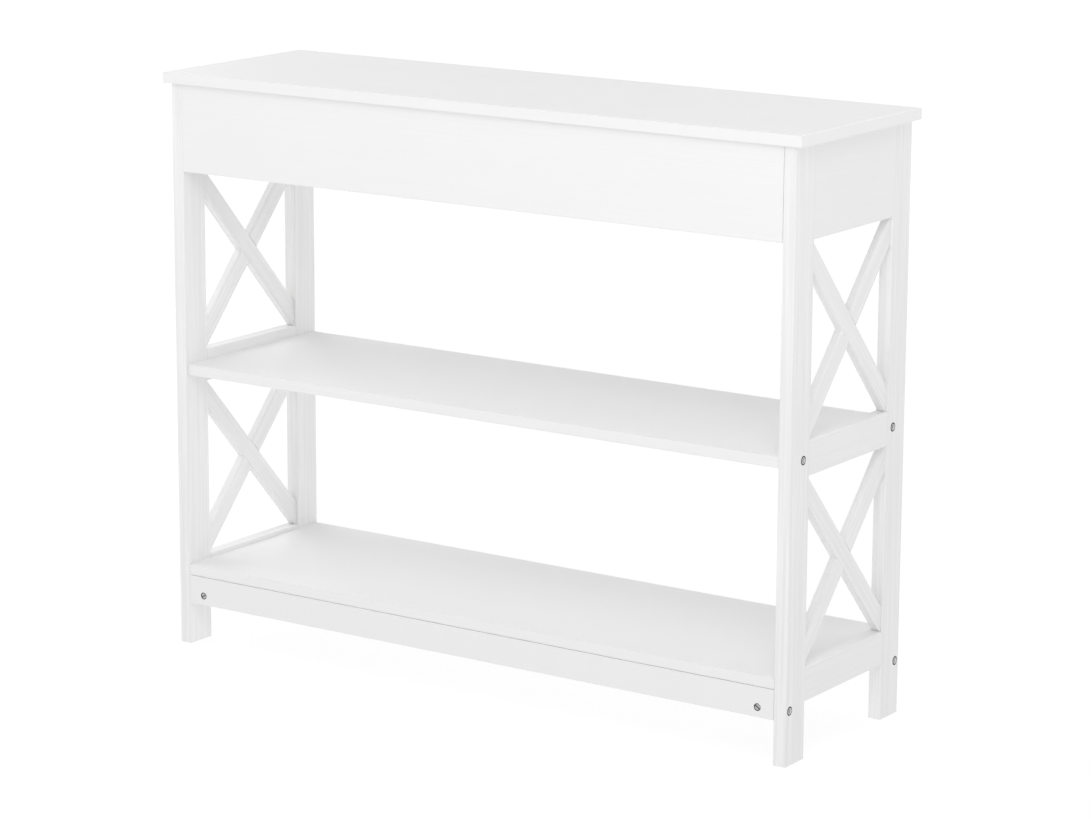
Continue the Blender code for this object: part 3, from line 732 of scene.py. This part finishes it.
# ---------------------------------------------------------------------------------------------
# Boards
# ---------------------------------------------------------------------------------------------
FREE_EDGE = 1.3 * MM         # eased edges that a hand meets
INNER_EDGE = 0.9 * MM        # a leg's edges towards the boards between the ends
JOINT_EDGE = {-1: 0.3 * MM, 1: 0.6 * MM}     # a front and a rear leg's edge beside a flush rail
PANEL_EDGE = 0.9 * MM        # edge-banded boards
TOP_EDGE = 0.8 * MM
BUTT_EDGE = 0.12 * MM        # cut ends that stand against another piece
FOOT_EDGE = 0.28 * MM
DEEPEST_EASING = 0.5 * MM
HOLE_EASING = 0.12 * MM
RAW_EASING = 0.06 * MM       # holes that no one sees
GLUED_REACH = 0.26 * MM      # how far a glued end comes past its CAD node, to close the joint
BOLTED_REACH = 0.12 * MM
BOLT_SEAT = (11.9 * MM, 2.5 * MM)
BOLT_BORE = 7.2 * MM
NUT_BORE = 9.9 * MM
CAM_BORE = (15.5 * MM, 12.6 * MM)
CAM_CHANNEL = 7.6 * MM
THREAD_BORE = (6.4 * MM, 10.6 * MM)
DOWEL_BORE = 8.4 * MM
HOLE_END = 0.3 * MM          # clearance past the end of what a hole holds
BOLT_END = 1.0 * MM
PAST_LEG = 2.0 * MM          # so that a bore surely comes out of the leg
AXES = (Vector((1, 0, 0)), Vector((0, 1, 0)), Vector((0, 0, 1)))


def centre(node):
    low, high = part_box(node)
    return (low + high) / 2


def board_frame(node, grain_axis):
    """The board's middle and size, and the matrix from (along, across, through) to the row frame."""
    low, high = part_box(node)
    size = high - low
    others = [axis for axis in range(3) if axis != grain_axis]
    order = (grain_axis, *sorted(others, key=lambda axis: -size[axis]))
    turned = Matrix([AXES[axis] for axis in order]).transposed()
    matrix = Matrix.Translation((low + high) / 2) @ turned.to_4x4()
    return matrix, Vector([size[axis] for axis in order])


def make_board(node, grain_axis, radii, end_radius, holes=(), reach=0.0):
    """A board in its CAD node's box. Each hole is (mouth, direction, steps, easing)."""
    matrix, size = board_frame(node, grain_axis)
    size.x += 2 * reach
    if not isinstance(radii, tuple):
        radii = (radii,) * 4
    mesh = rounded_bar(node, size, radii, end_radius)
    to_local = matrix.inverted()
    cutters = []
    for mouth, direction, steps, easing in holes:
        place = to_local @ Matrix.Translation(mouth) @ turn_x_to(direction)
        cutters.append((hole_cutter(steps, easing), place))
    if cutters:
        mesh = carve(mesh, cutters)
    finish_piece(node, mesh, matrix, "board", size / 2)


def table_corners():
    """Every corner of the table: its name, and which end and which side it is on."""
    for end, x_side in ENDS:
        for side, y_side in SIDES:
            yield f"{side}_{end}", x_side, y_side


def leg_holes(corner, x_side):
    """Two seats with their bores in the outer face, and the cam bolt's hole in the inner one."""
    low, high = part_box(f"{corner}_leg")
    outer_x = high.x if x_side > 0 else low.x
    inner_x = low.x if x_side > 0 else high.x
    steps = (BOLT_SEAT, (BOLT_BORE, high.x - low.x + PAST_LEG))
    inwards = Vector((-x_side, 0, 0))
    holes = []
    for bolt in ("shelf", "stretcher"):
        at = centre(f"{corner}_{bolt}_bolt")
        holes.append((Vector((outer_x, at.y, at.z)), inwards, steps, HOLE_EASING))
    cam = centre(f"{corner}_apron_cam_bolt")
    holes.append((Vector((inner_x, cam.y, cam.z)), -inwards, (THREAD_BORE,), RAW_EASING))
    return holes


def leg_radii(x_side, y_side):
    """Across a leg is Y and through it is X."""
    radii = []
    for across, through in QUARTERS:
        outside = through == x_side
        if across == y_side:
            radii.append(FREE_EDGE if outside else INNER_EDGE)
        else:
            radii.append(JOINT_EDGE[y_side] if outside else INNER_EDGE)
    return tuple(radii)


def make_legs():
    for corner, x_side, y_side in table_corners():
        holes = leg_holes(corner, x_side)
        make_board(f"{corner}_leg", 2, leg_radii(x_side, y_side), FOOT_EDGE, holes)


def make_end_frames():
    for end, _ in ENDS:
        for piece in ("end_panel", "middle_rail", "lower_rail"):
            make_board(f"{end}_{piece}", 1, FREE_EDGE, BUTT_EDGE, reach=GLUED_REACH)


def bolt_channel(board_node, bolt_node, x_side):
    """The bore in a board's end that the bolt reaches into."""
    low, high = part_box(board_node)
    bolt_low, bolt_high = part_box(bolt_node)
    at = (bolt_low + bolt_high) / 2
    end_x = high.x if x_side > 0 else low.x
    tip_x = bolt_low.x if x_side > 0 else bolt_high.x
    mouth = Vector((end_x, at.y, at.z))
    steps = ((BOLT_BORE, abs(end_x - tip_x) + BOLT_END),)
    return mouth, Vector((-x_side, 0, 0)), steps, RAW_EASING


def hole_from_below(board_node, node, diameter, easing):
    """A hole in a board's lower face that holds a node whose axis is upright."""
    low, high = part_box(node)
    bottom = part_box(board_node)[0].z
    mouth = Vector(((low.x + high.x) / 2, (low.y + high.y) / 2, bottom))
    return mouth, Vector((0, 0, 1)), ((diameter, high.z - bottom + HOLE_END),), easing


def make_shelves():
    holes = []
    for corner, x_side, _ in table_corners():
        holes.append(bolt_channel("middle_shelf", f"{corner}_shelf_bolt", x_side))
        holes.append(hole_from_below("middle_shelf", f"{corner}_shelf_nut", NUT_BORE, HOLE_EASING))
    make_board("middle_shelf", 0, PANEL_EDGE, BUTT_EDGE, holes, reach=BOLTED_REACH)
    holes = []
    for side, _ in SIDES:
        holes.append(hole_from_below("bottom_shelf", f"{side}_shelf_dowel", DOWEL_BORE, RAW_EASING))
    make_board("bottom_shelf", 0, PANEL_EDGE, BUTT_EDGE, holes, reach=BOLTED_REACH)


def make_stretchers():
    for side, y_side in SIDES:
        node = f"{side}_stretcher"
        low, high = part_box(node)
        face_y = high.y if y_side > 0 else low.y
        inwards = Vector((0, -y_side, 0))
        holes = []
        for end, x_side in ENDS:
            holes.append(bolt_channel(node, f"{side}_{end}_stretcher_bolt", x_side))
            nut_low, nut_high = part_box(f"{side}_{end}_stretcher_nut")
            at = (nut_low + nut_high) / 2
            depth = abs(face_y - (nut_low.y if y_side > 0 else nut_high.y)) + HOLE_END
            holes.append((Vector((at.x, face_y, at.z)), inwards, ((NUT_BORE, depth),), HOLE_EASING))
        dowel_low, dowel_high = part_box(f"{side}_shelf_dowel")
        at = (dowel_low + dowel_high) / 2
        mouth = Vector((at.x, at.y, high.z))
        steps = ((DOWEL_BORE, high.z - dowel_low.z + HOLE_END),)
        holes.append((mouth, Vector((0, 0, -1)), steps, RAW_EASING))
        make_board(node, 0, PANEL_EDGE, BUTT_EDGE, holes, reach=BOLTED_REACH)


def make_aprons():
    for side, y_side in SIDES:
        node = f"{side}_apron"
        low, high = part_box(node)
        inner_y = low.y if y_side > 0 else high.y
        middle_y = (low.y + high.y) / 2
        outwards = Vector((0, y_side, 0))
        holes = []
        for end, x_side in ENDS:
            cam = centre(f"{side}_{end}_apron_cam_disc")
            end_x = high.x if x_side > 0 else low.x
            holes.append((Vector((cam.x, inner_y, cam.z)), outwards, (CAM_BORE,), HOLE_EASING))
            mouth = Vector((end_x, middle_y, cam.z))
            steps = ((CAM_CHANNEL, abs(end_x - cam.x)),)
            holes.append((mouth, Vector((-x_side, 0, 0)), steps, RAW_EASING))
            cam = centre(f"{side}_{end}_top_cam_disc")
            holes.append((Vector((cam.x, inner_y, cam.z)), outwards, (CAM_BORE,), HOLE_EASING))
            mouth = Vector((cam.x, middle_y, high.z))
            steps = ((CAM_CHANNEL, high.z - cam.z),)
            holes.append((mouth, Vector((0, 0, -1)), steps, RAW_EASING))
        make_board(node, 0, PANEL_EDGE, BUTT_EDGE, holes, reach=BOLTED_REACH)


def make_top():
    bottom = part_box("table_top")[0].z
    holes = []
    for corner, _, _ in table_corners():
        at = centre(f"{corner}_top_cam_bolt")
        holes.append((Vector((at.x, at.y, bottom)), Vector((0, 0, 1)), (THREAD_BORE,), RAW_EASING))
    make_board("table_top", 0, TOP_EDGE, TOP_EDGE * ALMOST, holes)


# ---------------------------------------------------------------------------------------------
# Braces
# ---------------------------------------------------------------------------------------------
BRACE_WIDTH = 25.0 * MM
FACES_ALONG = 0.01           # the most that a normal across an axis may show of it
FACES_SQUARE = 0.999         # the least that a normal along an axis shows of it
LONG_ENOUGH = 1.5            # a bar's length before the bay cuts it, in diagonals of the bay
LAP_GAP = 0.02 * MM
LAP_EASING = 0.02 * MM
BAY_EASING = 0.1 * MM
CAD_GAP = 0.3 * MM           # what the CAD model keeps between pieces that touch
SEAM = 0.04 * MM             # what shows of it at a glued end


def make_brace(node, rising, bay_low, bay_high):
    """A bar of an X: cut square to the bay's legs and rails, and half-lapped at the crossing."""
    low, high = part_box(node)
    middle = (low + high) / 2
    thickness = high.x - low.x
    span = bay_high.y - bay_low.y
    turn = brace_slope(node) if rising else -brace_slope(node)
    length = LONG_ENOUGH * math.hypot(span, high.z - low.z)
    bar = rounded_bar(node, (length, BRACE_WIDTH, thickness), (FREE_EDGE,) * 4, BUTT_EDGE)
    # The bar's length lies along Y and its width along Z, and then it is turned about X.
    upright = Matrix([(0, 0, 1), (1, 0, 0), (0, 1, 0)]).to_4x4()
    matrix = Matrix.Translation(middle) @ Matrix.Rotation(turn, 4, "X") @ upright
    to_local = matrix.inverted()
    closed = 2 * (CAD_GAP - SEAM)
    bay_size = (span + closed, bay_high.z - bay_low.z + closed, 2 * thickness)
    bay = rounded_block("bay", bay_size, BAY_EASING)
    bay_place = to_local @ Matrix.Translation((bay_low + bay_high) / 2) @ upright
    mesh = carve(bar, [(bay, bay_place)], "INTERSECT")
    lap_size = (4 * BRACE_WIDTH, BRACE_WIDTH + 2 * LAP_GAP, thickness)
    lap = rounded_block("lap", lap_size, LAP_EASING)
    lap_side = 1 if rising else -1
    lap_middle = middle + Vector((lap_side * (thickness / 2 - LAP_GAP / 2), 0, 0))
    across = Matrix.Rotation(-turn, 4, "X") @ upright
    mesh = carve(mesh, [(lap, to_local @ Matrix.Translation(lap_middle) @ across)])
    finish_piece(node, mesh, matrix, "bar", (length / 2, BRACE_WIDTH / 2, thickness / 2))


def brace_slope(node):
    """The slope of a CAD bar, read from the normal of its narrow long sides: the largest faces
    along X that neither stand against a leg nor lie against a rail."""
    best_area = 0.0
    for polygon in frame["nodes"][node].data.polygons:
        x, y, z = (abs(part) for part in polygon.normal)
        if x < FACES_ALONG and max(y, z) < FACES_SQUARE and polygon.area > best_area:
            best_area = polygon.area
            slope = math.atan2(y, z)
    return slope


def make_braces():
    for end, _ in ENDS:
        front_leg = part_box(f"front_{end}_leg")
        rear_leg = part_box(f"rear_{end}_leg")
        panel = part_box(f"{end}_end_panel")
        middle_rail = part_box(f"{end}_middle_rail")
        lower_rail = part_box(f"{end}_lower_rail")
        bays = {"upper": (middle_rail, panel), "lower": (lower_rail, middle_rail)}
        for level, (below, above) in bays.items():
            low = Vector((front_leg[0].x, front_leg[1].y + CAD_GAP, below[1].z + CAD_GAP))
            high = Vector((front_leg[1].x, rear_leg[0].y - CAD_GAP, above[0].z - CAD_GAP))
            for direction, rising in (("rising", True), ("falling", False)):
                make_brace(f"{end}_{level}_brace_{direction}", rising, low, high)


# ---------------------------------------------------------------------------------------------
# Hardware
# ---------------------------------------------------------------------------------------------
HEAD_RADIUS = 5.0 * MM
HEAD_HEIGHT = 2.6 * MM
HEAD_CROWN = 1.3 * MM
HEAD_EASING = 0.25 * MM
HEAD_FILLET = 0.3 * MM
SHANK_RADIUS = 3.0 * MM
BOLT_LENGTH = 50.0 * MM
BOLT_POINT = 0.8 * MM
PLAIN_SHANK = 14.0 * MM
SOCKET = 4.0 * MM
SOCKET_DEPTH = 2.0 * MM
SOCKET_POINT = 0.45 * MM
SOCKET_LEAD_IN = 0.35 * MM
THREAD_PITCH = 1.0 * MM
THREAD_DEPTH = 0.55 * MM
NUT_RADIUS = 4.2 * MM
NUT_EASING = 0.5 * MM
NUT_BORE_RADIUS = 3.15 * MM
NUT_BORE_MOUTH = 4.0 * MM
STRETCHER_NUT = (14.0 * MM, 8.5 * MM)    # length, and depth of the cross bore
SHELF_NUT = (11.0 * MM, 7.0 * MM)
NUT_SLOT = (12 * MM, 1.5 * MM, 2.4 * MM)
SLOT_EASING = 0.2 * MM
SLOT_TURN = math.radians(32)     # how far a nut's slot was left from its bolt's direction
CAM_RADIUS = 7.45 * MM
CAM_THICKNESS = 12.0 * MM
CAM_EASING = 0.5 * MM
CAM_DISH = 0.5 * MM
CAM_SLOT = (8.6 * MM, 1.5 * MM, 4.4 * MM)
CAM_MOUTH = 3.45 * MM
CAM_BOLT_REACH = 35.5 * MM
CAM_BOLT_SCREW = 10.0 * MM
CAM_BOLT_PITCH = 1.8 * MM
CAM_BOLT_DEPTH = 0.8 * MM
CAM_BOLT_HEAD = 3.15 * MM
CAM_BOLT_NECK = 2.2 * MM
CAM_BOLT_COLLAR = 3.1 * MM
CAM_BOLT_SIDES = 32
DOWEL_UP = 10.0 * MM
DOWEL_DOWN = 18.0 * MM
DOWEL_RADIUS = 3.98 * MM
DOWEL_POINT = 1.0 * MM
DOWEL_TAPER = 0.72
FLUTES = 24
FLUTE_DEPTH = 0.18 * MM
CLEAR = 1 * MM                   # how far a cutter starts outside what it cuts


def arc(centre_x, centre_r, radius, first, last, steps=6):
    """Profile points (radius, x) on an arc, with its angle measured from the axis."""
    points = []
    for step in range(steps + 1):
        angle = math.radians(first + (last - first) * step / steps)
        points.append((centre_r + radius * math.sin(angle), centre_x + radius * math.cos(angle)))
    return points


def connector_bolt():
    """A low pan head with a hex socket on a shank threaded for most of its length. The head's top
    is at the origin, and the head faces along +X."""
    top = HEAD_RADIUS - HEAD_CROWN
    tip = -HEAD_HEIGHT - BOLT_LENGTH
    thread_start = -HEAD_HEIGHT - PLAIN_SHANK
    thread_end = tip + BOLT_POINT
    profile = [(0, 0), (top * 0.72, 0)]
    profile += arc(-HEAD_CROWN, top, HEAD_CROWN, 0, 90)
    profile += [(HEAD_RADIUS, HEAD_EASING - HEAD_HEIGHT), (HEAD_RADIUS - HEAD_EASING, -HEAD_HEIGHT)]
    profile += [(SHANK_RADIUS + HEAD_FILLET, -HEAD_HEIGHT)]
    profile += [(SHANK_RADIUS, -HEAD_HEIGHT - HEAD_FILLET)]
    profile += threaded_stretch(SHANK_RADIUS, thread_start, thread_end, THREAD_PITCH)
    profile += [(SHANK_RADIUS - BOLT_POINT, tip), (0, tip)]
    body = lathe("bolt", profile, thread=(thread_end, thread_start, THREAD_DEPTH, THREAD_PITCH))
    socket = prism("socket", 6, SOCKET, CLEAR, -SOCKET_DEPTH, -SOCKET_POINT)
    inner = SOCKET * 0.56
    cone = [(0, CLEAR), (inner + CLEAR + SOCKET_LEAD_IN, CLEAR)]
    cone += [(inner, -SOCKET_LEAD_IN), (0, -SOCKET_LEAD_IN)]
    identity = Matrix.Identity(4)
    return carve(body, [(lathe("lead_in", cone), identity), (socket, identity)])


def drum_profile(length, radius, easing):
    """The outline of a drum from its face at the origin to its far end, with both rims eased."""
    inner = radius - easing
    rim = arc(-easing, inner, easing, 0, 90, steps=4)[1:]
    return [(inner, 0), *rim, *arc(easing - length, inner, easing, 90, 180, steps=4), (0, -length)]


def barrel_nut(length, bore_depth, slot_turn):
    """A slotted cross nut, its slotted face at the origin and pointing along +X, bored along Y."""
    body = lathe("nut", [(0, 0), *drum_profile(length, NUT_RADIUS, NUT_EASING)])
    half_bore = []
    for radius, x in ((0, 7.0), (NUT_BORE_MOUTH, 7.0), (NUT_BORE_MOUTH, 4.8), (NUT_BORE_RADIUS, 4.0)):
        half_bore.append((radius, x * MM))
    bore = lathe("bore", [(radius, -x) for radius, x in half_bore] + half_bore[::-1])
    slot = rounded_block("slot", NUT_SLOT, SLOT_EASING)
    across = Matrix.Translation((-bore_depth, 0, 0)) @ turn_x_to((0, 1, 0))
    upright = turn_x_to((0, 1, 0)) @ Matrix.Rotation(math.pi / 2, 4, "X")
    return carve(body, [(bore, across), (slot, Matrix.Rotation(slot_turn, 4, "X") @ upright)])


def cam_disc():
    """A cast cam, its cross-slotted face at the origin and pointing along +X, open along +Y."""
    dish = [(0, -CAM_DISH), (4.6 * MM, -CAM_DISH), (5.1 * MM, 0)]
    body = lathe("cam", dish + drum_profile(CAM_THICKNESS, CAM_RADIUS, CAM_EASING))
    start = -2.6 * MM
    end = 9 * MM
    channel = lathe("channel", [(0, start), (CAM_MOUTH, start), (CAM_MOUTH, end), (0, end)])
    along = Matrix.Translation((-7.2 * MM, 0, 0)) @ turn_x_to((0, 1, 0))
    slot = rounded_block("slot", CAM_SLOT, SLOT_EASING)
    upright = Matrix.Rotation(math.pi / 2, 4, "Y")
    cuts = [(channel, along)]
    for turn in (0.0, math.pi / 2):
        cuts.append((slot.copy(), Matrix.Rotation(turn, 4, "X") @ upright))
    return carve(body, cuts)


def cam_bolt():
    """A cam bolt: coarse thread along -X from its collar at the origin, neck and head along +X."""
    reach = CAM_BOLT_REACH
    tip = -CAM_BOLT_SCREW
    thread_start = 0.2 * MM
    thread_end = tip + CAM_BOLT_DEPTH
    profile = [(0, reach), (2.4 * MM, reach)]
    profile += [(CAM_BOLT_HEAD, reach - 0.8 * MM), (CAM_BOLT_HEAD, reach - 3.0 * MM)]
    profile += [(CAM_BOLT_NECK, reach - 3.9 * MM), (CAM_BOLT_NECK, 1.6 * MM)]
    profile += [(CAM_BOLT_COLLAR, 1.5 * MM), (CAM_BOLT_COLLAR, 0.3 * MM)]
    profile += threaded_stretch(2.95 * MM, thread_start, thread_end, CAM_BOLT_PITCH)
    profile += [(1.9 * MM, tip), (0, tip)]
    groove = (thread_end, thread_start, CAM_BOLT_DEPTH, CAM_BOLT_PITCH)
    return lathe("cam_bolt", profile, segments=CAM_BOLT_SIDES, thread=groove)


def dowel():
    """A fluted dowel along X, its joint at the origin: the shorter part up and the longer down."""
    bm = bmesh.new()
    rings = []
    outline = [(DOWEL_TAPER, DOWEL_UP), (1.0, DOWEL_UP - DOWEL_POINT)]
    outline += [(1.0, DOWEL_POINT - DOWEL_DOWN), (DOWEL_TAPER, -DOWEL_DOWN)]
    for share, x in outline:
        ring = []
        for step in range(2 * FLUTES):
            here = (DOWEL_RADIUS - (FLUTE_DEPTH if step % 2 else 0)) * share
            angle = math.pi * step / FLUTES
            ring.append(bm.verts.new((x, here * math.cos(angle), here * math.sin(angle))))
        rings.append(ring)
    join_rings(bm, rings)
    bm.faces.new(rings[0])
    bm.faces.new(rings[-1])
    bmesh.ops.recalc_face_normals(bm, faces=bm.faces)
    return mesh_of(bm, "dowel")


def outer_end(node, axis, direction):
    """A CAD node's end along an axis, on its own middle line."""
    low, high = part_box(node)
    end = (low + high) / 2
    end[axis] = high[axis] if direction > 0 else low[axis]
    return end


def spin(index, per_turn):
    """A rotation about X that differs from piece to piece, as an assembler leaves each one."""
    return Matrix.Rotation(2 * math.pi * ((index * GOLDEN) % 1.0) / per_turn, 4, "X")


def make_hardware():
    bolt = connector_bolt()
    cam = cam_disc()
    cam_screw = cam_bolt()
    for index, (corner, x_side, y_side) in enumerate(table_corners()):
        outwards = turn_x_to((x_side, 0, 0))
        for row, kind in enumerate(("shelf", "stretcher")):
            node = f"{corner}_{kind}_bolt"
            turn = outwards @ spin(2 * index + row + 1, 6)
            place = Matrix.Translation(outer_end(node, 0, x_side)) @ turn
            finish_piece(node, bolt.copy(), place, "metal")
        node = f"{corner}_stretcher_nut"
        turn = turn_columns((0, y_side, 0), (1, 0, 0))
        nut = barrel_nut(*STRETCHER_NUT, y_side * x_side * SLOT_TURN)
        finish_piece(node, nut, Matrix.Translation(outer_end(node, 1, y_side)) @ turn, "metal")
        node = f"{corner}_shelf_nut"
        turn = turn_columns((0, 0, -1), (1, 0, 0))
        nut = barrel_nut(*SHELF_NUT, y_side * SLOT_TURN)
        finish_piece(node, nut, Matrix.Translation(outer_end(node, 2, -1)) @ turn, "metal")
        for kind, axis, towards in (("apron", 0, (x_side, 0, 0)), ("top", 2, (0, 0, 1))):
            node = f"{corner}_{kind}_cam_disc"
            turn = turn_columns((0, -y_side, 0), towards)
            place = Matrix.Translation(outer_end(node, 1, -y_side)) @ turn
            finish_piece(node, cam.copy(), place, "metal")
            node = f"{corner}_{kind}_cam_bolt"
            inwards = -Vector(towards)
            collar = outer_end(node, axis, towards[axis]) + inwards * CAM_BOLT_SCREW
            place = Matrix.Translation(collar) @ turn_x_to(inwards)
            finish_piece(node, cam_screw.copy(), place, "metal")


def make_dowels():
    for side, _ in SIDES:
        node = f"{side}_shelf_dowel"
        joint = outer_end(node, 2, 1) - Vector((0, 0, DOWEL_UP))
        finish_piece(node, dowel(), Matrix.Translation(joint) @ turn_x_to((0, 0, 1)), "wood")


bpy.context.scene.view_settings.view_transform = "Standard"
make_camera()
make_floor()
make_world()
make_soft_boxes()
make_top()
make_aprons()
make_legs()
make_end_frames()
make_braces()
make_shelves()
make_stretchers()
make_hardware()
make_dowels()
